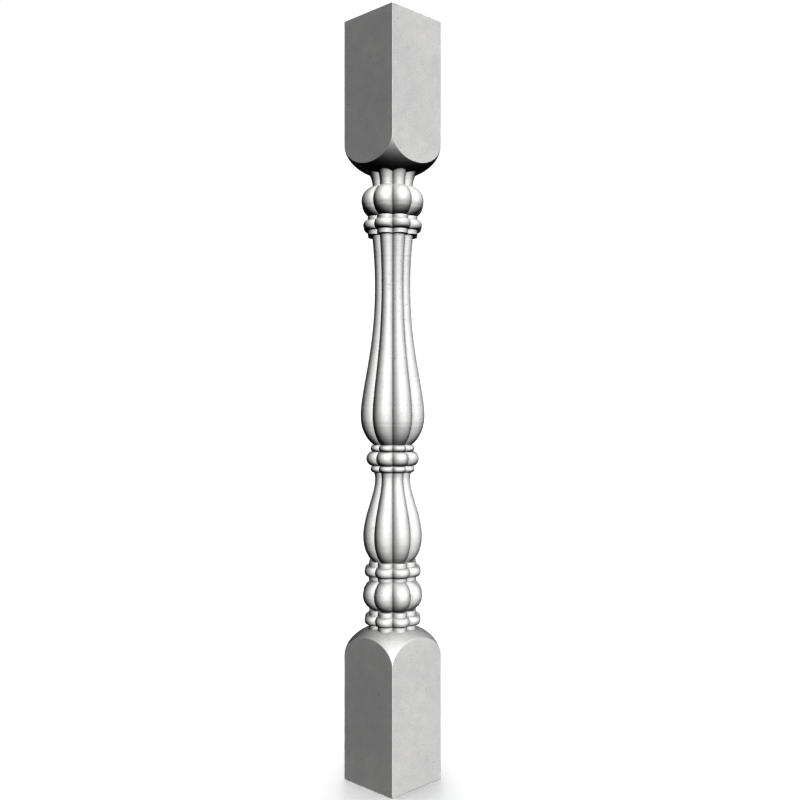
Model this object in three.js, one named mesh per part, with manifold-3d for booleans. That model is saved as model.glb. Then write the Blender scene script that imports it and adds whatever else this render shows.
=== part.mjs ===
import * as THREE from 'three';
import { mergeVertices } from 'three/addons/utils/BufferGeometryUtils.js';
import Module from 'manifold-3d';

// A lobed baluster carved from one piece of pale stone: a square block at each end, and
// between them turned mouldings and two vases, all cut lengthwise into eight round lobes.
// It stands upright on its lower block. Sizes are in millimetres and Z is up.
// A radius is measured at the crest of a lobe, a height along the axis.

// Square blocks, each rounded over by a shoulder at its inner end
const BLOCK_SIDE = 90;
const BLOCK_STRAIGHT = 162.4;
const SHOULDER_RISE = 44;

// Lobes: the valley radius is a share of the crest radius, so the carving shrinks at the necks
const LOBES = 8;
const VALLEY_SHARE = 0.8145;

// Base mouldings, from the lower block upwards
const BASE_FILLET_RADIUS = 32.5;
const BASE_BEAD_PROUD = 6;
const FOOT_BEAD_HEIGHT = 12.4;
const FILLET_UNDER_LOWER_BALL = 6.3;
const LOWER_BALL_RADIUS = 40.7;
const LOWER_BALL_END_RADIUS = 25.6;
const LOWER_BALL_HEIGHT = 39.5;
const LOWER_BALL_SWEEP = 66;
const FILLET_OVER_LOWER_BALL = 5;
const BASE_BEAD_HEIGHT = 13;
const FILLET_UNDER_SHORT_VASE = 6.2;

// Ring between the vases: a torus with a small bead on each side
const RING_CORE_RADIUS = 25.4;
const RING_BEAD_PROUD = 4.8;
const RING_BEAD_HEIGHT = 8.7;
const RING_TORUS_END_RADIUS = 26.8;
const RING_TORUS_PROUD = 9.1;
const RING_TORUS_HEIGHT = 18.5;

// Short vase, which ends on the ring's core
const SHORT_VASE = {
  footRadius: 26.1,
  bellyRadius: 40.2,
  bellyHeight: 33.1,
  bellySweep: 66,
  neckRadius: 23.9,
  taperHeight: 75.4,
  bellyPull: 0.36,
  neckPull: 0.28,
  lipRadius: RING_CORE_RADIUS,
  lipHeight: 8.5,
};

// Long vase, which starts on the ring's core
const LONG_VASE = {
  footRadius: RING_CORE_RADIUS,
  bellyRadius: 43.7,
  bellyHeight: 37.7,
  bellySweep: 62,
  neckRadius: 24.2,
  taperHeight: 170.2,
  bellyPull: 0.206,
  neckPull: 0.5,
  lipRadius: 28.1,
  lipHeight: 66.8,
};

// Top mouldings, up to the upper block
const TOP_FILLET_RADIUS = 34.2;
const FILLET_OVER_LONG_VASE = 6.5;
const TOP_BEAD_PROUD = 6.1;
const TOP_BEAD_HEIGHT = 13.1;
const FILLET_UNDER_UPPER_BALL = 5;
const UPPER_BALL_RADIUS = 42.6;
const UPPER_BALL_HEIGHT = 39.8;
const UPPER_BALL_SWEEP = 62;
const NECK_RADIUS = 27.6;
const NECK_HEIGHT = 12.8;
const NECK_FLARE = 12;
const NECK_FLARE_HEIGHT = 23.5;
const NECK_SWEEP = 66;

// How finely the curves are cut into flats
const FACETS_PER_LOBE = 6;
const FACETS_PER_SHOULDER = 48;
const SHOULDER_STEPS = 8;
const BALL_STEPS = 7;
const BEAD_STEPS = 5;
const SMALL_BEAD_STEPS = 4;
const BELLY_STEPS = 4;
const SHORT_TAPER_STEPS = 7;
const SHORT_LIP_STEPS = 2;
const LONG_TAPER_STEPS = 9;
const LONG_LIP_STEPS = 4;
const NECK_STEPS = 4;

// A bead or torus runs a quarter turn each way from its crest
const HALF_ROUND = 90;

const wasm = await Module();
wasm.setup();

const radians = THREE.MathUtils.degToRad;

// Outline of the turned part, grown upwards one moulding at a time; x is the radius, y the height
function addCurve(outline, curve, steps) {
  const last = outline.at(-1);
  const fresh = curve.getPoints(steps);
  const joined = last.distanceTo(fresh[0]) < 1e-6;
  outline.push(...(joined ? fresh.slice(1) : fresh));
}

function addFillet(outline, radius, height) {
  const foot = new THREE.Vector2(radius, outline.at(-1).y);
  const top = new THREE.Vector2(radius, foot.y + height);
  addCurve(outline, new THREE.LineCurve(foot, top), 1);
}

// A round moulding that swells from its end radius to its crest and back. The sweep is how far
// the arc runs each way from the crest: below a half round the ends meet what is next at a slant.
function addBulge(outline, bulge) {
  const angle = radians(bulge.sweep);
  const depth = (bulge.crestRadius - bulge.endRadius) / (1 - Math.cos(angle));
  const rise = bulge.height / 2 / Math.sin(angle);
  const centre = bulge.crestRadius - depth;
  const middle = outline.at(-1).y + bulge.height / 2;
  addCurve(outline, new THREE.EllipseCurve(centre, middle, depth, rise, -angle, angle), bulge.steps);
}

// The lower quarter of a vase's belly, from its foot to its widest place
function addBelly(outline, vase) {
  const angle = radians(vase.bellySweep);
  const depth = (vase.bellyRadius - vase.footRadius) / (1 - Math.cos(angle));
  const rise = vase.bellyHeight / Math.sin(angle);
  const centre = vase.bellyRadius - depth;
  const widest = outline.at(-1).y + vase.bellyHeight;
  addCurve(outline, new THREE.EllipseCurve(centre, widest, depth, rise, -angle, 0), BELLY_STEPS);
}

// The long curve from the belly to the slim neck, upright at both ends
function addTaper(outline, vase, steps) {
  const widest = outline.at(-1).y;
  const slimmest = widest + vase.taperHeight;
  const taper = new THREE.CubicBezierCurve(
    new THREE.Vector2(vase.bellyRadius, widest),
    new THREE.Vector2(vase.bellyRadius, widest + vase.bellyPull * vase.taperHeight),
    new THREE.Vector2(vase.neckRadius, slimmest - vase.neckPull * vase.taperHeight),
    new THREE.Vector2(vase.neckRadius, slimmest),
  );
  addCurve(outline, taper, steps);
}

// Above the neck the vase opens a little again
function addLip(outline, vase, steps) {
  const slimmest = outline.at(-1).y;
  const lip = new THREE.QuadraticBezierCurve(
    new THREE.Vector2(vase.neckRadius, slimmest),
    new THREE.Vector2(vase.neckRadius, slimmest + vase.lipHeight / 2),
    new THREE.Vector2(vase.lipRadius, slimmest + vase.lipHeight),
  );
  addCurve(outline, lip, steps);
}

function addVase(outline, vase, taperSteps, lipSteps) {
  addBelly(outline, vase);
  addTaper(outline, vase, taperSteps);
  addLip(outline, vase, lipSteps);
}

function addBaseBead(outline, height) {
  addBulge(outline, {
    endRadius: BASE_FILLET_RADIUS,
    crestRadius: BASE_FILLET_RADIUS + BASE_BEAD_PROUD,
    height,
    sweep: HALF_ROUND,
    steps: BEAD_STEPS,
  });
}

function addBaseMouldings(outline) {
  addBaseBead(outline, FOOT_BEAD_HEIGHT);
  addFillet(outline, BASE_FILLET_RADIUS, FILLET_UNDER_LOWER_BALL);
  addBulge(outline, {
    endRadius: LOWER_BALL_END_RADIUS,
    crestRadius: LOWER_BALL_RADIUS,
    height: LOWER_BALL_HEIGHT,
    sweep: LOWER_BALL_SWEEP,
    steps: BALL_STEPS,
  });
  addFillet(outline, BASE_FILLET_RADIUS, FILLET_OVER_LOWER_BALL);
  addBaseBead(outline, BASE_BEAD_HEIGHT);
  addFillet(outline, BASE_FILLET_RADIUS, FILLET_UNDER_SHORT_VASE);
}

function addRingBead(outline) {
  addBulge(outline, {
    endRadius: RING_CORE_RADIUS,
    crestRadius: RING_CORE_RADIUS + RING_BEAD_PROUD,
    height: RING_BEAD_HEIGHT,
    sweep: HALF_ROUND,
    steps: SMALL_BEAD_STEPS,
  });
}

function addRing(outline) {
  addRingBead(outline);
  addBulge(outline, {
    endRadius: RING_TORUS_END_RADIUS,
    crestRadius: RING_TORUS_END_RADIUS + RING_TORUS_PROUD,
    height: RING_TORUS_HEIGHT,
    sweep: HALF_ROUND,
    steps: BEAD_STEPS,
  });
  addRingBead(outline);
}

function addTopMouldings(outline) {
  addFillet(outline, TOP_FILLET_RADIUS, FILLET_OVER_LONG_VASE);
  addBulge(outline, {
    endRadius: TOP_FILLET_RADIUS,
    crestRadius: TOP_FILLET_RADIUS + TOP_BEAD_PROUD,
    height: TOP_BEAD_HEIGHT,
    sweep: HALF_ROUND,
    steps: BEAD_STEPS,
  });
  addFillet(outline, TOP_FILLET_RADIUS, FILLET_UNDER_UPPER_BALL);
  addBulge(outline, {
    endRadius: NECK_RADIUS,
    crestRadius: UPPER_BALL_RADIUS,
    height: UPPER_BALL_HEIGHT,
    sweep: UPPER_BALL_SWEEP,
    steps: BALL_STEPS,
  });
}

// The hollow neck opens outwards until it is inside the shoulder of the upper block
function addNeck(outline) {
  const centre = NECK_RADIUS + NECK_FLARE;
  const foot = outline.at(-1).y;
  const end = Math.PI - radians(NECK_SWEEP);
  const hollow = new THREE.EllipseCurve(
    centre, foot, NECK_FLARE, NECK_FLARE_HEIGHT, Math.PI, end, true,
  );
  addCurve(outline, hollow, NECK_STEPS);
}

// Turns a closed geometry into a solid for joining and cutting
function toSolid(geometry) {
  const plain = geometry.clone();
  plain.deleteAttribute('normal');
  plain.deleteAttribute('uv');
  const merged = mergeVertices(plain, 1e-4);
  const index = merged.index.array;
  const triangles = [];
  for (let i = 0; i < index.length; i += 3) {
    const [a, b, c] = index.slice(i, i + 3);
    if (a !== b && b !== c && c !== a) triangles.push(a, b, c);
  }
  return new wasm.Manifold(new wasm.Mesh({
    numProp: 3,
    vertProperties: new Float32Array(merged.attributes.position.array),
    triVerts: new Uint32Array(triangles),
  }));
}

function toGeometry(solid) {
  const mesh = solid.getMesh();
  const geometry = new THREE.BufferGeometry();
  geometry.setAttribute('position', new THREE.BufferAttribute(mesh.vertProperties, 3));
  geometry.setIndex(new THREE.BufferAttribute(mesh.triVerts, 1));
  geometry.computeVertexNormals();
  return geometry;
}

// Lathe geometry about Z from an outline that starts and ends on the axis
function turned(points, facets) {
  return new THREE.LatheGeometry(points, facets).rotateX(Math.PI / 2);
}

// Moves each upright line of lathe points onto the lobed section. A lobe is an arc of a
// circle that touches the crest radius and ends on the two valleys beside it.
function cutLobes(geometry, pointsPerLine) {
  const halfLobe = Math.PI / LOBES;
  const valleyX = VALLEY_SHARE * Math.cos(halfLobe);
  const valleyY = VALLEY_SHARE * Math.sin(halfLobe);
  const centre = (1 - VALLEY_SHARE ** 2) / (2 * (1 - valleyX));
  const halfArc = Math.atan2(valleyY, valleyX - centre);
  const position = geometry.attributes.position;
  for (let i = 0; i < position.count; i += 1) {
    const line = Math.floor(i / pointsPerLine);
    const lobe = Math.floor(line / FACETS_PER_LOBE);
    const turn = halfArc * (((line % FACETS_PER_LOBE) / FACETS_PER_LOBE) * 2 - 1);
    const x = centre + (1 - centre) * Math.cos(turn);
    const y = (1 - centre) * Math.sin(turn);
    const angle = (2 * lobe + 1) * halfLobe + Math.atan2(y, x);
    const radius = Math.hypot(position.getX(i), position.getY(i)) * Math.hypot(x, y);
    position.setXY(i, radius * Math.cos(angle), radius * Math.sin(angle));
  }
  return geometry;
}

// The square is cut by an ellipsoid as wide as its own diagonal, so the shoulder starts at the
// corners and leaves a round arch on each face
function makeBlock() {
  const crown = BLOCK_STRAIGHT + SHOULDER_RISE;
  const square = new THREE.BoxGeometry(BLOCK_SIDE, BLOCK_SIDE, crown).translate(0, 0, crown / 2);
  const halfDiagonal = BLOCK_SIDE / Math.SQRT2;
  const dome = new THREE.EllipseCurve(0, BLOCK_STRAIGHT, halfDiagonal, SHOULDER_RISE, 0, Math.PI / 2);
  const envelope = [
    new THREE.Vector2(0, -BLOCK_STRAIGHT),
    new THREE.Vector2(BLOCK_SIDE, -BLOCK_STRAIGHT),
    new THREE.Vector2(BLOCK_SIDE, BLOCK_STRAIGHT),
    ...dome.getPoints(SHOULDER_STEPS).slice(0, -1),
    new THREE.Vector2(0, crown),
  ];
  return toSolid(square).intersect(toSolid(turned(envelope, FACETS_PER_SHOULDER)));
}

// Heights of the turned part's outline, from inside the lower block to inside the upper one
function makeOutline() {
  const outline = [new THREE.Vector2(0, BLOCK_STRAIGHT)];
  addFillet(outline, BASE_FILLET_RADIUS, SHOULDER_RISE);
  addBaseMouldings(outline);
  addVase(outline, SHORT_VASE, SHORT_TAPER_STEPS, SHORT_LIP_STEPS);
  addRing(outline);
  addVase(outline, LONG_VASE, LONG_TAPER_STEPS, LONG_LIP_STEPS);
  addTopMouldings(outline);
  const upperCrown = outline.at(-1).y + NECK_HEIGHT;
  addNeck(outline);
  const upperStraight = upperCrown + SHOULDER_RISE;
  outline.push(new THREE.Vector2(outline.at(-1).x, upperStraight));
  outline.push(new THREE.Vector2(0, upperStraight));
  return { outline, fullHeight: upperStraight + BLOCK_STRAIGHT };
}

function makeBaluster() {
  const { outline, fullHeight } = makeOutline();
  const lathed = turned(outline, LOBES * FACETS_PER_LOBE);
  const shaft = toSolid(cutLobes(lathed, outline.length));
  const lower = makeBlock();
  const upper = makeBlock().rotate([180, 0, 0]).translate([0, 0, fullHeight]);
  return toGeometry(shaft.add(lower).add(upper));
}

const stone = new THREE.MeshStandardMaterial({ color: 0xdcdbd8, roughness: 0.75, metalness: 0 });

const baluster = new THREE.Mesh(makeBaluster(), stone);
baluster.name = 'baluster';

const part = new THREE.Group();
part.add(baluster);

export default part;
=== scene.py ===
"""Looks of the lobed stone baluster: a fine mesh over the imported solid, its stone, studio and camera."""

import math

import bpy
import numpy as np
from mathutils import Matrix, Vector


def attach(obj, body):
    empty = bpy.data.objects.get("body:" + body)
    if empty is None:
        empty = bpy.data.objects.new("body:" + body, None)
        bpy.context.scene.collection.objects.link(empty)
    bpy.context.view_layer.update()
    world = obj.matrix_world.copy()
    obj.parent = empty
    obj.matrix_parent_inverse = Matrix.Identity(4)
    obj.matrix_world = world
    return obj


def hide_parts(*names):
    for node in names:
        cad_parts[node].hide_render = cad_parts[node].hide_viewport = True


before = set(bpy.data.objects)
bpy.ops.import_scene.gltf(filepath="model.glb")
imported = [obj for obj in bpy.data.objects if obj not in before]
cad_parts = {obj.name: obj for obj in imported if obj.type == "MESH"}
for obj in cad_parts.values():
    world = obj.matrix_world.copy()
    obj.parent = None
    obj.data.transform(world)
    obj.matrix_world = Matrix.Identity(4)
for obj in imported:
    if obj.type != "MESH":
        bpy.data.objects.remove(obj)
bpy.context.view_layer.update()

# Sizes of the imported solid, in millimetres. A radius is measured at the crest of a lobe, and
# VALLEY_SHARE is the radius of a valley as a share of it. A sweep, in degrees, is how far the
# arc of a bulge goes on either side of its crest.
MM = 0.001
BLOCK_SIDE = 90
BLOCK_STRAIGHT = 162.4
SHOULDER_RISE = 44
LOBES = 8
VALLEY_SHARE = 0.8145

BASE_FILLET_RADIUS = 32.5
BASE_BEAD_PROUD = 6
FOOT_BEAD_HEIGHT = 12.4
FILLET_UNDER_LOWER_BALL = 6.3
LOWER_BALL_RADIUS = 40.7
LOWER_BALL_END_RADIUS = 25.6
LOWER_BALL_HEIGHT = 39.5
LOWER_BALL_SWEEP = 66
FILLET_OVER_LOWER_BALL = 5
BASE_BEAD_HEIGHT = 13
FILLET_UNDER_SHORT_VASE = 6.2

RING_CORE_RADIUS = 25.4
RING_BEAD_PROUD = 4.8
RING_BEAD_HEIGHT = 8.7
RING_TORUS_END_RADIUS = 26.8
RING_TORUS_PROUD = 9.1
RING_TORUS_HEIGHT = 18.5

# A vase has a belly, a taper up to its neck and a lip that opens again. The two pulls say how
# long the taper stays upright at the belly and at the neck, as shares of its height.
SHORT_VASE = dict(
    foot=26.1,
    belly=40.2,
    belly_height=33.1,
    sweep=66,
    neck=23.9,
    taper=75.4,
    belly_pull=0.36,
    neck_pull=0.28,
    lip=RING_CORE_RADIUS,
    lip_height=8.5,
)
LONG_VASE = dict(
    foot=RING_CORE_RADIUS,
    belly=43.7,
    belly_height=37.7,
    sweep=62,
    neck=24.2,
    taper=170.2,
    belly_pull=0.206,
    neck_pull=0.5,
    lip=28.1,
    lip_height=66.8,
)

TOP_FILLET_RADIUS = 34.2
FILLET_OVER_LONG_VASE = 6.5
TOP_BEAD_PROUD = 6.1
TOP_BEAD_HEIGHT = 13.1
FILLET_UNDER_UPPER_BALL = 5
UPPER_BALL_RADIUS = 42.6
UPPER_BALL_HEIGHT = 39.8
UPPER_BALL_SWEEP = 62
NECK_RADIUS = 27.6
NECK_HEIGHT = 12.8
NECK_FLARE = 12
NECK_FLARE_HEIGHT = 23.5
NECK_SWEEP = 66
HALF_ROUND = 90

HALF_SIDE = BLOCK_SIDE / 2
HALF_DIAGONAL = BLOCK_SIDE / math.sqrt(2)
CROWN = BLOCK_STRAIGHT + SHOULDER_RISE

# The section of the shaft at a crest radius of 1: where a valley lies beside the middle of its
# lobe, and how far out the lobe's own round is centred
HALF_LOBE = math.pi / LOBES
VALLEY_X = VALLEY_SHARE * math.cos(HALF_LOBE)
VALLEY_Y = VALLEY_SHARE * math.sin(HALF_LOBE)
LOBE_CENTRE = (1 - VALLEY_SHARE**2) / (2 * (1 - VALLEY_X))

# How the edges are softened by the carver's rubbing, in millimetres
ARRIS_RADIUS = 0.3
CREASE_BLEND = 0.5
EDGE_CUT = 0.7
QUIRK_CUT = 0.35
DEEP_QUIRK_CUT = 1.2

# How far rubbing reaches from an edge, and dirt and painted shade from a quirk and a valley, in
# millimetres
EDGE_REACH = 1.4
QUIRK_REACH = 2.2
VALLEY_REACH = 1.6

# How fine the mesh is. Its columns run upright and its rings run round. ARRIS_COLUMNS are more
# columns, in degrees on either side of a block's corner. The crease of a block is where its face
# meets its shoulder, and CREASE_STEPS are the rings there, in widths of the blend.
STEPS_PER_LOBE = 20
ARRIS_COLUMNS = (0.064, 0.128, 0.195, 0.5, 1.1)
ARRIS_RINGS = 5
FACE_RINGS = 12
CREASE_STEPS = (-1, -0.5, -0.2, 0.2, 0.5, 1)
SHOULDER_RINGS = 15
FILLET_RINGS = 4
NECK_RINGS = 9
CORNER_POINTS = 3

# On the shaft, each run of the outline has a ring for so many millimetres of its length and
# another for so many degrees of its bend, and three at least
RING_SPACING = 5
RING_TURN = 10
FEWEST_RINGS = 3

# How far the first ring lies inside an arris, on the bed and on the face, in arris radii, and how
# far the rings of face and shoulder stay off their crease, in widths of the blend
ARRIS_MARGIN = 2.5
CREASE_MARGIN = 2

# All rings are level from this far below the crown, in millimetres, to this far along the arc of
# the hollow neck, in degrees
COMMON_FILLET = 2.4
NECK_START = 10

# How many points draw each part of the outline before its rings are chosen
LEDGE_POINTS = 30
FILLET_POINTS = 60
BULGE_POINTS = 400
BELLY_POINTS = 300
TAPER_POINTS = 600
LIP_POINTS = 200
NECK_POINTS = 60

# Angles, in degrees. Runs of the outline that meet at less than SMOOTH_TURN are one run. A quirk
# beyond DEEP_TURN is a deep cut, and a turn beyond DOUBLED_BACK always counts as one.
SMOOTH_TURN = 8
DEEP_TURN = 120
DOUBLED_BACK = 150
SHARP_ANGLE = 35

# Points of the outline that are nearer than this, in millimetres, are one, and the search for
# where the neck meets the shoulder halves its range this often
SAME_PLACE = 1e-6
HALVINGS = 50

# The stone's colour varies between these two
COOL_STONE = (0.779, 0.781, 0.783, 1)
WARM_STONE = (0.787, 0.782, 0.773, 1)

# The camera, in metres, degrees and millimetres of sensor. It stands a little to the right of the
# blocks' diagonal.
CAMERA_AZIMUTH = 45
CAMERA_DISTANCE = 1.2756
CAMERA_ASIDE = 0.0097
CAMERA_HEIGHT = 0.50054
LENS_ANGLE = 45
SENSOR_WIDTH = 36
NEAREST_SEEN = 0.05
FARTHEST_SEEN = 200

# The lights, in degrees and watts per square metre. An azimuth is the side at which a light
# stands, counted as the views count it, and one above the camera's is to the camera's right.
# Softness is how wide a light looks.
KEY_AZIMUTH = CAMERA_AZIMUTH + 15.4
KEY_ELEVATION = 24.6
KEY_STRENGTH = 4.22
BACK_AZIMUTH = 224
BACK_ELEVATION = 1
BACK_STRENGTH = 3.4
LEFT_AZIMUTH = 270
LEFT_STRENGTH = 0.9
RIGHT_AZIMUTH = 182
RIGHT_STRENGTH = 0.6
SIDE_ELEVATION = 2
SOFTNESS = 20
LAMP_DISTANCE = 3

# The background's strength as the stone receives it and as the camera sees it, and the gamma of
# the view
AMBIENT = 0.02
BACKGROUND = 1.05
CONTRAST = 0.9

# The floor, in metres, and the light from straight above that only it receives. FLOOR_SHADOW is
# the share of that light which the baluster can block.
FLOOR_REACH = 30
FLOOR_DROP = 0.0002
FLOOR_COLOUR = (0.9, 0.9, 0.9, 1)
FLOOR_ROUGHNESS = 0.9
FLOOR_STRENGTH = 1.7
FLOOR_SHADOW = 0.3
FLOOR_SOFTNESS = 70
STRAIGHT_UP = 90


def turn_at(run, following):
    """How far the outline turns towards the stone between two runs, in degrees, below 0 in a quirk."""
    before = run[-1] - run[-2]
    after = following[1] - following[0]
    turn = math.degrees(math.atan2(before[0] * after[1] - before[1] * after[0], before @ after))
    return -180 if abs(turn) > DOUBLED_BACK else turn


def neck_at(turn, foot):
    radius = NECK_RADIUS + NECK_FLARE * (1 - np.cos(turn))
    return radius, foot + NECK_FLARE_HEIGHT * np.sin(turn)


def bezier(values, share):
    rest = 1 - share
    weights = rest**3, 3 * share * rest**2, 3 * share**2 * rest, share**3
    return sum(weight * value for weight, value in zip(weights, values))


class Outline:
    """The turned outline from the lower block upwards, as runs of (radius, height) between corners."""

    def __init__(self, height):
        self.height = height
        self.runs = []

    def add(self, radius, height):
        fresh = np.stack([radius, height], 1)
        self.height = float(height[-1])
        if self.runs and np.hypot(*(fresh[0] - self.runs[-1][-1])) > SAME_PLACE:
            ledge = np.linspace(self.runs[-1][-1], fresh[0], LEDGE_POINTS)
            if abs(turn_at(ledge, fresh)) < SMOOTH_TURN:
                fresh = np.concatenate([ledge[:-1], fresh])
            elif abs(turn_at(self.runs[-1], ledge)) < SMOOTH_TURN:
                self.runs[-1] = np.concatenate([self.runs[-1], ledge[1:]])
            else:
                self.runs.append(ledge)
        self.runs.append(fresh)

    def fillet(self, radius, height):
        heights = np.linspace(self.height, self.height + height, FILLET_POINTS)
        self.add(np.full_like(heights, radius), heights)

    def bulge(self, end, crest, height, sweep):
        angle = math.radians(sweep)
        depth = (crest - end) / (1 - math.cos(angle))
        rise = height / 2 / math.sin(angle)
        turn = np.linspace(-angle, angle, BULGE_POINTS)
        middle = self.height + height / 2
        self.add(crest - depth + depth * np.cos(turn), middle + rise * np.sin(turn))

    def vase(self, size):
        angle = math.radians(size["sweep"])
        depth = (size["belly"] - size["foot"]) / (1 - math.cos(angle))
        rise = size["belly_height"] / math.sin(angle)
        turn = np.linspace(-angle, 0, BELLY_POINTS)
        widest = self.height + size["belly_height"]
        belly = size["belly"] - depth + depth * np.cos(turn), widest + rise * np.sin(turn)

        slimmest = widest + size["taper"]
        low_pull = widest + size["belly_pull"] * size["taper"]
        high_pull = slimmest - size["neck_pull"] * size["taper"]
        radii = size["belly"], size["belly"], size["neck"], size["neck"]
        heights = widest, low_pull, high_pull, slimmest
        share = np.linspace(0, 1, TAPER_POINTS)[1:]
        taper = bezier(radii, share), bezier(heights, share)

        share = np.linspace(0, 1, LIP_POINTS)[1:]
        opening = size["lip"] - size["neck"]
        lip = size["neck"] + opening * share**2, slimmest + size["lip_height"] * share
        self.add(*(np.concatenate(part) for part in zip(belly, taper, lip)))

    def neck(self, upto):
        self.add(*neck_at(np.linspace(0, upto, NECK_POINTS), self.height))


def lengths(run):
    return np.concatenate([[0], np.cumsum(np.hypot(*np.diff(run, axis=0).T))])


def resampled(run, cut_start, cut_end):
    """The run without its cut ends, with points closer together where it bends."""
    along = lengths(run)
    heading = np.unwrap(np.arctan2(*np.diff(run, axis=0).T[::-1]))
    turned = np.cumsum(np.abs(np.diff(heading, prepend=heading[0])))
    effort = along / RING_SPACING + np.degrees(np.append(0, turned)) / RING_TURN
    low, high = np.interp([cut_start, along[-1] - cut_end], along, effort)
    count = max(FEWEST_RINGS, math.ceil(high - low) + 1)
    places = np.interp(np.linspace(low, high, count), effort, along)
    return np.stack([np.interp(places, along, values) for values in run.T], 1)


def corner_arc(before, corner, after):
    """Points of a small arc that leaves out the corner, without its two ends."""
    shares = (np.arange(CORNER_POINTS) + 1) / (CORNER_POINTS + 1)
    return [(1 - t) ** 2 * before + 2 * t * (1 - t) * corner + t**2 * after for t in shares]


def cut_for(turn):
    """How much of both runs a rounded corner takes away."""
    if abs(turn) < SMOOTH_TURN:
        return 0
    if turn > 0:
        return EDGE_CUT
    return DEEP_QUIRK_CUT if turn < -DEEP_TURN else QUIRK_CUT


def softened(runs):
    """All runs as one list of points with rounded corners, and which points are edges and quirks."""
    turns = [turn_at(run, following) for run, following in zip(runs, runs[1:])]
    cuts = [0] + [cut_for(turn) for turn in turns] + [0]
    pieces = [resampled(run, *cuts[place:place + 2]) for place, run in enumerate(runs)]
    points = list(pieces[0])
    edges, quirks = [], []
    for run, turn, cut, piece in zip(runs, turns, cuts[1:], pieces[1:]):
        if cut:
            arc = corner_arc(points[-1], run[-1], piece[0])
            (edges if turn > 0 else quirks).append(len(points) + CORNER_POINTS // 2)
            points += arc + list(piece)
        else:
            points += list(piece[1:])
    return np.array(points), edges, quirks


def outline_of_shaft():
    """The outline whose rings are level, from the foot fillet to just above the upper ball."""
    outline = Outline(CROWN - COMMON_FILLET)

    def base_bead(height):
        crest = BASE_FILLET_RADIUS + BASE_BEAD_PROUD
        outline.bulge(BASE_FILLET_RADIUS, crest, height, HALF_ROUND)

    def ring_bead():
        crest = RING_CORE_RADIUS + RING_BEAD_PROUD
        outline.bulge(RING_CORE_RADIUS, crest, RING_BEAD_HEIGHT, HALF_ROUND)

    outline.fillet(BASE_FILLET_RADIUS, COMMON_FILLET)
    base_bead(FOOT_BEAD_HEIGHT)
    outline.fillet(BASE_FILLET_RADIUS, FILLET_UNDER_LOWER_BALL)
    outline.bulge(LOWER_BALL_END_RADIUS, LOWER_BALL_RADIUS, LOWER_BALL_HEIGHT, LOWER_BALL_SWEEP)
    outline.fillet(BASE_FILLET_RADIUS, FILLET_OVER_LOWER_BALL)
    base_bead(BASE_BEAD_HEIGHT)
    outline.fillet(BASE_FILLET_RADIUS, FILLET_UNDER_SHORT_VASE)
    outline.vase(SHORT_VASE)
    ring_bead()
    torus_crest = RING_TORUS_END_RADIUS + RING_TORUS_PROUD
    outline.bulge(RING_TORUS_END_RADIUS, torus_crest, RING_TORUS_HEIGHT, HALF_ROUND)
    ring_bead()
    outline.vase(LONG_VASE)
    outline.fillet(TOP_FILLET_RADIUS, FILLET_OVER_LONG_VASE)
    top_crest = TOP_FILLET_RADIUS + TOP_BEAD_PROUD
    outline.bulge(TOP_FILLET_RADIUS, top_crest, TOP_BEAD_HEIGHT, HALF_ROUND)
    outline.fillet(TOP_FILLET_RADIUS, FILLET_UNDER_UPPER_BALL)
    outline.bulge(NECK_RADIUS, UPPER_BALL_RADIUS, UPPER_BALL_HEIGHT, UPPER_BALL_SWEEP)
    neck_foot = outline.height
    outline.neck(math.radians(NECK_START))
    return outline.runs, neck_foot


def lobe_share(angle):
    """Radius of the lobed section in a direction, as a share of the crest radius."""
    off = angle % (2 * HALF_LOBE) - HALF_LOBE
    across = LOBE_CENTRE * np.sin(off)
    return LOBE_CENTRE * np.cos(off) + np.sqrt((1 - LOBE_CENTRE) ** 2 - across**2)


def column_angles():
    """Directions of the columns: even steps round each lobe, and more beside the blocks' corners."""
    half_arc = math.atan2(VALLEY_Y, VALLEY_X - LOBE_CENTRE)
    turn = half_arc * (np.arange(STEPS_PER_LOBE) / STEPS_PER_LOBE * 2 - 1)
    x = LOBE_CENTRE + (1 - LOBE_CENTRE) * np.cos(turn)
    y = (1 - LOBE_CENTRE) * np.sin(turn)
    angles = [(2 * lobe + 1) * HALF_LOBE + np.arctan2(y, x) for lobe in range(LOBES)]
    for corner in range(45, 360, 90):
        angles += [np.radians([corner - aside, corner + aside]) for aside in ARRIS_COLUMNS]
    return np.sort(np.concatenate(angles))


def square_radius(angle):
    """Radius of the block's section in a direction, with its four arrises rounded."""
    off = np.abs((angle + math.pi / 4) % (math.pi / 2) - math.pi / 4)
    inset = HALF_SIDE - ARRIS_RADIUS
    along = inset * (np.cos(off) + np.sin(off))
    arc = along + np.sqrt(np.maximum(along**2 - 2 * inset**2 + ARRIS_RADIUS**2, 0))
    return np.where(HALF_SIDE * np.tan(off) <= inset, HALF_SIDE / np.cos(off), arc)


def shoulder_at(turn):
    return HALF_DIAGONAL * np.cos(turn), BLOCK_STRAIGHT + SHOULDER_RISE * np.sin(turn)


def shoulder_radius(height):
    share = np.clip((height - BLOCK_STRAIGHT) / SHOULDER_RISE, 0, 1)
    return HALF_DIAGONAL * np.sqrt(1 - share**2)


def shoulder_height(radius):
    return BLOCK_STRAIGHT + SHOULDER_RISE * np.sqrt(1 - (radius / HALF_DIAGONAL) ** 2)


def blended(one, other):
    """The smaller of two radii, rounded off where they are nearly alike."""
    near = np.clip(1 - np.abs(one - other) / CREASE_BLEND, 0, 1)
    return np.minimum(one, other) - near**2 * CREASE_BLEND / 4


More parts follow.
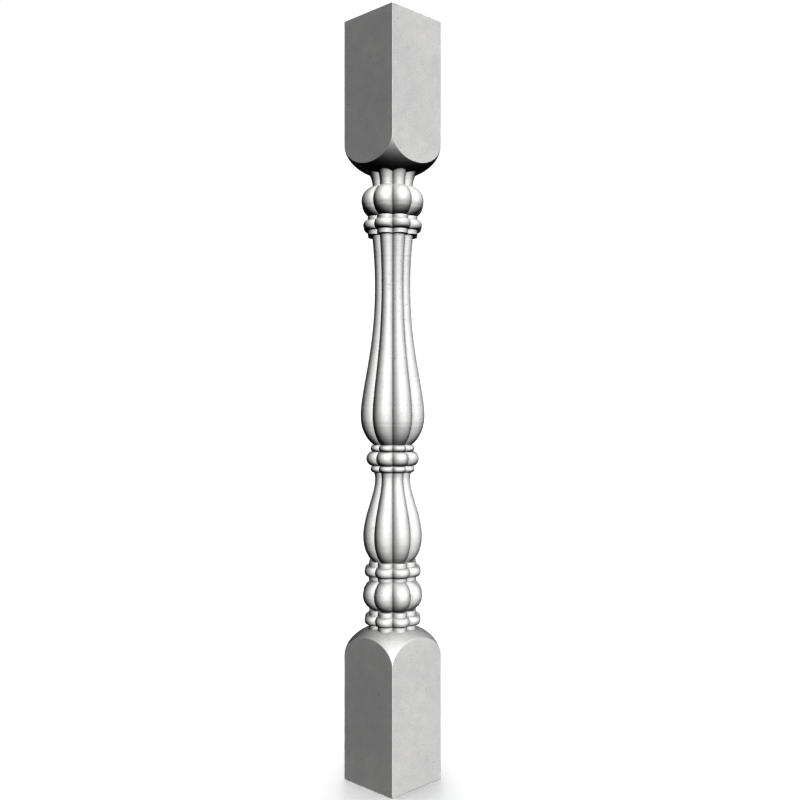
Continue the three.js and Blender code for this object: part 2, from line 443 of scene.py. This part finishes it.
def block_rings(square, junction_radius):
    """Rings of a block, from its bed to just short of where the shaft leaves its shoulder.

    Each ring holds (radius, height) by column.
    """
    inner = ARRIS_MARGIN * ARRIS_RADIUS
    flat = np.zeros_like(square)
    rings = [(square * (1 - inner / HALF_SIDE), flat)]
    for turn in np.linspace(0, math.pi / 2, ARRIS_RINGS):
        inset = ARRIS_RADIUS * (1 - math.sin(turn))
        height = flat + ARRIS_RADIUS * (1 - math.cos(turn))
        rings.append((square * (1 - inset / HALF_SIDE), height))

    crease = shoulder_height(square)
    width = shoulder_height(square - CREASE_BLEND) - crease
    margin = CREASE_MARGIN * width
    for share in np.linspace(0, 1, FACE_RINGS):
        height = inner + share * (crease - margin - inner)
        rings.append((blended(square, shoulder_radius(height)), height))
    for step in CREASE_STEPS:
        height = crease + step * width
        rings.append((blended(square, shoulder_radius(height)), height))

    begin = np.arcsin((crease + margin - BLOCK_STRAIGHT) / SHOULDER_RISE)
    end = np.arccos(junction_radius / HALF_DIAGONAL)
    pace = np.hypot(HALF_DIAGONAL * np.sin(end), SHOULDER_RISE * np.cos(end))
    end = end - QUIRK_CUT / pace
    for share in np.linspace(0, 1, SHOULDER_RINGS):
        radius, height = shoulder_at(begin + share * (end - begin))
        rings.append((blended(square, radius), height))
    return [np.stack(ring, 1) for ring in rings]


def neck_meeting(lobes, neck_foot, full_height):
    """Turn along the hollow neck at which each column meets the upper shoulder."""
    low = np.zeros_like(lobes)
    high = np.full_like(lobes, math.radians(NECK_SWEEP))
    for _ in range(HALVINGS):
        middle = (low + high) / 2
        radius, height = neck_at(middle, neck_foot)
        inside = height > full_height - shoulder_height(radius * lobes)
        high = np.where(inside, middle, high)
        low = np.where(inside, low, middle)
    return (low + high) / 2


def baluster_rings():
    """All rings from bed to bed, and which of them are edges, quirks and the ends of the shaft."""
    angles = column_angles()
    lobes = lobe_share(angles)
    square = square_radius(angles)
    runs, neck_foot = outline_of_shaft()
    common, edges, quirks = softened(runs)
    full_height = neck_foot + NECK_HEIGHT + CROWN
    half_crease = len(CREASE_STEPS) // 2

    # The lower block, and the foot fillet up to where its rings are level
    base = BASE_FILLET_RADIUS * lobes
    rings = block_rings(square, base)
    low_crease = len(rings) - SHOULDER_RINGS - half_crease
    corner = np.stack([base, shoulder_height(base)], 1)
    leaving = corner + [0, QUIRK_CUT]
    low_quirk = len(rings) + CORNER_POINTS // 2
    rings += corner_arc(rings[-1], corner, leaving)
    to_level = CROWN - COMMON_FILLET - leaving[:, 1]
    for share in np.linspace(0, 1, FILLET_RINGS, endpoint=False):
        rings.append(leaving + np.stack([np.zeros_like(base), share * to_level], 1))

    # The level rings
    first = len(rings)
    for radius, height in common:
        rings.append(np.stack([radius * lobes, np.full_like(lobes, height)], 1))

    # The rest of the hollow neck, which meets the upper shoulder
    start = math.radians(NECK_START)
    meeting = neck_meeting(lobes, neck_foot, full_height)
    pace = np.hypot(NECK_FLARE * np.sin(meeting), NECK_FLARE_HEIGHT * np.cos(meeting))
    last = meeting - QUIRK_CUT / pace
    for share in np.linspace(0, 1, NECK_RINGS + 1)[1:]:
        radius, height = neck_at(start + share * (last - start), neck_foot)
        rings.append(np.stack([radius * lobes, height], 1))

    # The upper block is the lower one upside down
    radius, height = neck_at(meeting, neck_foot)
    corner = np.stack([radius * lobes, height], 1)
    upper = block_rings(square, corner[:, 0])[::-1]
    upper = [ring * [1, -1] + [0, full_height] for ring in upper]
    high_quirk = len(rings) + CORNER_POINTS // 2
    rings += corner_arc(rings[-1], corner, upper[0])
    high_crease = len(rings) + SHOULDER_RINGS + half_crease - 1
    rings += upper

    edges = [low_crease] + [first + place for place in edges] + [high_crease]
    quirks = [low_quirk] + [first + place for place in quirks] + [high_quirk]
    return angles, np.stack(rings, 1), edges, quirks, (low_quirk, high_quirk)


def stone_mesh(angles, rings):
    """The closed mesh of all rings, with two flat beds."""
    columns, count = rings.shape[:2]
    radius, height = rings[..., 0], rings[..., 1]
    x = radius * np.cos(angles)[:, None]
    y = radius * np.sin(angles)[:, None]
    points = np.stack([x, y, height], -1).reshape(-1, 3) * MM

    column = np.arange(columns)[:, None]
    ring = np.arange(count - 1)[None, :]
    here = column * count + ring
    beside = (column + 1) % columns * count + ring
    faces = np.stack([here, beside, beside + 1, here + 1], -1).reshape(-1, 4).tolist()
    faces.append([place * count for place in reversed(range(columns))])
    faces.append([place * count + count - 1 for place in range(columns)])

    mesh = bpy.data.meshes.new("baluster_stone")
    mesh.from_pydata(points.tolist(), [], faces)
    mesh.validate()
    mesh.shade_smooth()
    mesh.set_sharp_from_angle(angle=math.radians(SHARP_ANGLE))
    return mesh


def nearness(distance, reach):
    return np.exp(-((distance / reach) ** 2))


def mark_wear_and_shade(mesh, angles, rings, edges, quirks, ends):
    """How near each point is to a quirk, a valley or an edge, and if it is on the shaft; near quirks and
    valleys the stone is painted darker, as dirt and painted shade.
    """
    radius, height = rings[..., 0], rings[..., 1]
    steps = np.diff(rings, axis=1, prepend=rings[:, :1])
    along = np.cumsum(np.hypot(steps[..., 0], steps[..., 1]), 1)
    to_edge = np.min([np.abs(along - along[:, [ring]]) for ring in edges], 0)
    to_quirk = np.min([np.abs(along - along[:, [ring]]) for ring in quirks], 0)
    to_valley = np.abs((angles + HALF_LOBE) % (2 * HALF_LOBE) - HALF_LOBE)[:, None] * radius
    to_corner = np.abs(angles % (math.pi / 2) - math.pi / 4)[:, None] * radius
    to_bed = np.minimum(height, height.max() - height)

    on_shaft = np.zeros(rings.shape[1], bool)
    on_shaft[ends[0]:ends[1] + 1] = True
    # Near quirks and valleys the material paints the stone darker: partly dirt, partly painted shade
    quirk = nearness(to_quirk, QUIRK_REACH)
    valley = nearness(to_valley, VALLEY_REACH)
    edge = nearness(to_edge, EDGE_REACH)
    arris = nearness(np.minimum(to_corner, to_bed), EDGE_REACH)
    marks = {
        "quirk": np.where(on_shaft, np.maximum(quirk, valley), quirk),
        "edge": np.where(on_shaft, edge, np.maximum(edge, arris)),
        "shaft": np.broadcast_to(on_shaft, radius.shape),
    }
    for name, values in marks.items():
        layer = mesh.attributes.new(name, "FLOAT", "POINT")
        layer.data.foreach_set("value", np.ascontiguousarray(values, np.float32).ravel())


def make_baluster():
    angles, rings, edges, quirks, ends = baluster_rings()
    mesh = stone_mesh(angles, rings)
    mark_wear_and_shade(mesh, angles, rings, edges, quirks, ends)
    piece = bpy.data.objects.new("baluster_stone", mesh)
    bpy.context.scene.collection.objects.link(piece)
    return piece


class Nodes:
    """Short words for building a node tree."""

    def __init__(self, tree):
        self.tree = tree
        tree.nodes.clear()

    def make(self, kind, inputs=(), **settings):
        node = self.tree.nodes.new(kind)
        for name, value in settings.items():
            setattr(node, name, value)
        for key, value in dict(inputs).items():
            if isinstance(value, bpy.types.NodeSocket):
                self.tree.links.new(value, node.inputs[key])
            else:
                node.inputs[key].default_value = value
        return node

    def math(self, operation, *values):
        return self.make("ShaderNodeMath", enumerate(values), operation=operation).outputs[0]

    def noise(self, place, scale, detail, roughness, dimensions="3D"):
        key = "W" if dimensions == "1D" else "Vector"
        inputs = {key: place, "Scale": scale, "Detail": detail, "Roughness": roughness}
        return self.make("ShaderNodeTexNoise", inputs, noise_dimensions=dimensions).outputs["Fac"]

    def spread(self, value, low, high, to_low, to_high):
        """Maps low..high of a value to another range and holds it there beyond."""
        ranges = {"From Min": low, "From Max": high, "To Min": to_low, "To Max": to_high}
        return self.make("ShaderNodeMapRange", {"Value": value, **ranges}).outputs["Result"]

    def attribute(self, name):
        return self.make("ShaderNodeAttribute", attribute_name=name).outputs["Fac"]


def stone_material():
    """Pale rubbed stone. Noise scales are in features per metre, and relief is in millimetres."""
    material = bpy.data.materials.new("pale_rubbed_stone")
    material.use_nodes = True
    nodes = Nodes(material.node_tree)
    place = nodes.make("ShaderNodeTexCoord").outputs["Object"]
    height = nodes.make("ShaderNodeSeparateXYZ", {0: place}).outputs["Z"]
    quirk = nodes.attribute("quirk")
    edge = nodes.attribute("edge")
    shaft = nodes.attribute("shaft")

    clouds = nodes.noise(place, scale=11, detail=3, roughness=0.55)
    patches = nodes.noise(place, scale=75, detail=3, roughness=0.6)
    grain = nodes.noise(place, scale=900, detail=2, roughness=0.6)
    crystals = nodes.noise(place, scale=2600, detail=1, roughness=0.5)
    speck_noise = nodes.noise(place, scale=520, detail=1, roughness=0.5)
    pit_noise = nodes.noise(place, scale=330, detail=2, roughness=0.5)
    tool_noise = nodes.noise(height, scale=170, detail=2, roughness=0.6, dimensions="1D")
    specks = nodes.spread(speck_noise, 0.70, 0.78, 0, 1)
    pits = nodes.spread(pit_noise, 0.27, 0.33, 1, 0)
    tool_marks = nodes.math("MULTIPLY", tool_noise, shaft)
    # Dirt and painted shade: the stone is darker near quirks and valleys, where shade falls
    dirt_and_shade = nodes.math("MULTIPLY", quirk, nodes.spread(patches, 0.25, 0.75, 0.75, 1.25))

    tones = (
        nodes.spread(clouds, 0.3, 0.7, 0.972, 1.022),
        nodes.spread(patches, 0.3, 0.7, 0.982, 1.016),
        nodes.spread(grain, 0.25, 0.75, 0.955, 1.035),
        nodes.spread(crystals, 0.2, 0.8, 0.98, 1.02),
        nodes.spread(specks, 0, 1, 1, 0.9),
        nodes.spread(pits, 0, 1, 1, 0.86),
        # Painted shade and dirt, darker in quirks and valleys
        nodes.spread(dirt_and_shade, 0, 1.2, 1, 0.94),
        nodes.spread(edge, 0, 1, 1, 1.02),
    )
    tone = tones[0]
    for layer in tones[1:]:
        tone = nodes.math("MULTIPLY", tone, layer)
    patch_warmth = nodes.spread(patches, 0.3, 0.7, -0.35, 0.35)
    cloud_warmth = nodes.spread(clouds, 0.3, 0.7, 0.15, 0.85)
    warmth = nodes.math("ADD", patch_warmth, cloud_warmth)
    # Sockets 6 and 7 of a Mix node are its two colours, and output 2 is the mixed colour
    mix = nodes.make("ShaderNodeMix", {0: warmth, 6: COOL_STONE, 7: WARM_STONE}, data_type="RGBA")
    colour = nodes.make("ShaderNodeVectorMath", {0: mix.outputs[2], "Scale": tone}, operation="SCALE")

    relief = nodes.math("MULTIPLY", patches, 0.07)
    for texture, depth in ((grain, 0.035), (crystals, 0.01), (pits, -0.12), (tool_marks, 0.28)):
        relief = nodes.math("MULTIPLY_ADD", texture, depth, relief)
    bump = nodes.make("ShaderNodeBump", {"Height": relief, "Distance": MM, "Strength": 1.0})

    roughness = nodes.spread(patches, 0.3, 0.7, 0.54, 0.66)
    roughness = nodes.math("ADD", roughness, nodes.spread(edge, 0, 1, 0, -0.08))
    roughness = nodes.math("ADD", roughness, nodes.spread(pits, 0, 1, 0, 0.1))
    inputs = {
        "Base Color": colour.outputs[0],
        "Roughness": roughness,
        "Specular IOR Level": 0.5,
        "Normal": bump.outputs[0],
    }
    shader = nodes.make("ShaderNodeBsdfPrincipled", inputs)
    nodes.make("ShaderNodeOutputMaterial", {"Surface": shader.outputs[0]})
    return material


def light(name, azimuth, elevation, strength, softness=SOFTNESS, shadow=True):
    """A distant studio light, whose place sets only its direction."""
    data = bpy.data.lights.new(name, "SUN")
    data.energy = strength
    data.angle = math.radians(softness)
    data.use_shadow = shadow
    lamp = bpy.data.objects.new(name, data)
    turn, lift = math.radians(azimuth), math.radians(elevation)
    level = math.cos(lift)
    stands = Vector((math.sin(turn) * level, -math.cos(turn) * level, math.sin(lift)))
    lamp.rotation_euler = stands.to_track_quat("Z", "Y").to_euler()
    lamp.location = stands * LAMP_DISTANCE
    bpy.context.scene.collection.objects.link(lamp)
    return lamp


def make_world():
    """A white background that gives the baluster only a weak even light."""
    world = bpy.data.worlds.new("studio")
    bpy.context.scene.world = world
    world.use_nodes = True
    nodes = Nodes(world.node_tree)
    seen = nodes.make("ShaderNodeLightPath").outputs["Is Camera Ray"]
    strength = nodes.spread(seen, 0, 1, AMBIENT, BACKGROUND)
    sky = nodes.make("ShaderNodeBackground", {"Color": (1, 1, 1, 1), "Strength": strength})
    nodes.make("ShaderNodeOutputWorld", {"Surface": sky.outputs[0]})


def make_floor():
    reach = FLOOR_REACH
    corners = [(-reach, -reach, 0), (reach, -reach, 0), (reach, reach, 0), (-reach, reach, 0)]
    mesh = bpy.data.meshes.new("floor")
    mesh.from_pydata(corners, [], [(0, 1, 2, 3)])
    floor = bpy.data.objects.new("floor", mesh)
    floor.location.z = -FLOOR_DROP
    bpy.context.scene.collection.objects.link(floor)
    paint = bpy.data.materials.new("pale_floor")
    paint.use_nodes = True
    shader = paint.node_tree.nodes["Principled BSDF"]
    shader.inputs["Base Color"].default_value = FLOOR_COLOUR
    shader.inputs["Roughness"].default_value = FLOOR_ROUGHNESS
    shader.inputs["Specular IOR Level"].default_value = 0.0
    mesh.materials.append(paint)
    floor.visible_diffuse = False
    floor.visible_glossy = False
    return floor


def make_lights(floor):
    """The key light, three others for the views from behind and the sides, and two for the floor.

    The photo's shading has no cast shadows, so the key light casts none on the stone. Its sheen
    is a light of its own that does, or it would show on the far side. The others give no sheen.
    """
    matt_lamps = (
        light("key", KEY_AZIMUTH, KEY_ELEVATION, KEY_STRENGTH, shadow=False),
        light("back", BACK_AZIMUTH, BACK_ELEVATION, BACK_STRENGTH),
        light("left", LEFT_AZIMUTH, SIDE_ELEVATION, LEFT_STRENGTH),
        light("right", RIGHT_AZIMUTH, SIDE_ELEVATION, RIGHT_STRENGTH),
    )
    for lamp in matt_lamps:
        lamp.visible_glossy = False
    sheen = light("key_sheen", KEY_AZIMUTH, KEY_ELEVATION, KEY_STRENGTH)
    sheen.visible_diffuse = False

    only_floor = bpy.data.collections.new("floor_light")
    only_floor.objects.link(floor)
    blocked = FLOOR_STRENGTH * FLOOR_SHADOW
    unblocked = FLOOR_STRENGTH * (1 - FLOOR_SHADOW)
    floor_lamps = (
        light("floor_soft", 0, STRAIGHT_UP, blocked, FLOOR_SOFTNESS),
        light("floor_fill", 0, STRAIGHT_UP, unblocked, FLOOR_SOFTNESS, shadow=False),
    )
    for lamp in floor_lamps:
        lamp.light_linking.receiver_collection = only_floor


def make_studio():
    scene = bpy.context.scene
    scene.view_settings.view_transform = "Raw"
    scene.view_settings.look = "None"
    scene.view_settings.gamma = CONTRAST
    # The photo has no bounced light
    scene.cycles.diffuse_bounces = 0
    make_world()
    make_lights(make_floor())


def make_camera():
    """A 45 degree lens, level, half way up the baluster, looking along the blocks' diagonal."""
    data = bpy.data.cameras.new("camera")
    data.sensor_width = SENSOR_WIDTH
    data.lens = SENSOR_WIDTH / 2 / math.tan(math.radians(LENS_ANGLE / 2))
    data.clip_start = NEAREST_SEEN
    data.clip_end = FARTHEST_SEEN
    camera = bpy.data.objects.new("camera", data)
    turn = math.radians(CAMERA_AZIMUTH)
    back = Vector((math.sin(turn), -math.cos(turn), 0))
    right = Vector((math.cos(turn), math.sin(turn), 0))
    up = Vector((0, 0, 1))
    camera.location = back * CAMERA_DISTANCE + right * CAMERA_ASIDE + up * CAMERA_HEIGHT
    camera.rotation_euler = back.to_track_quat("Z", "Y").to_euler()
    bpy.context.scene.collection.objects.link(camera)
    bpy.context.scene.camera = camera


make_camera()
make_studio()
baluster = make_baluster()
baluster.data.materials.append(stone_material())
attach(baluster, "root")
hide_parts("baluster")
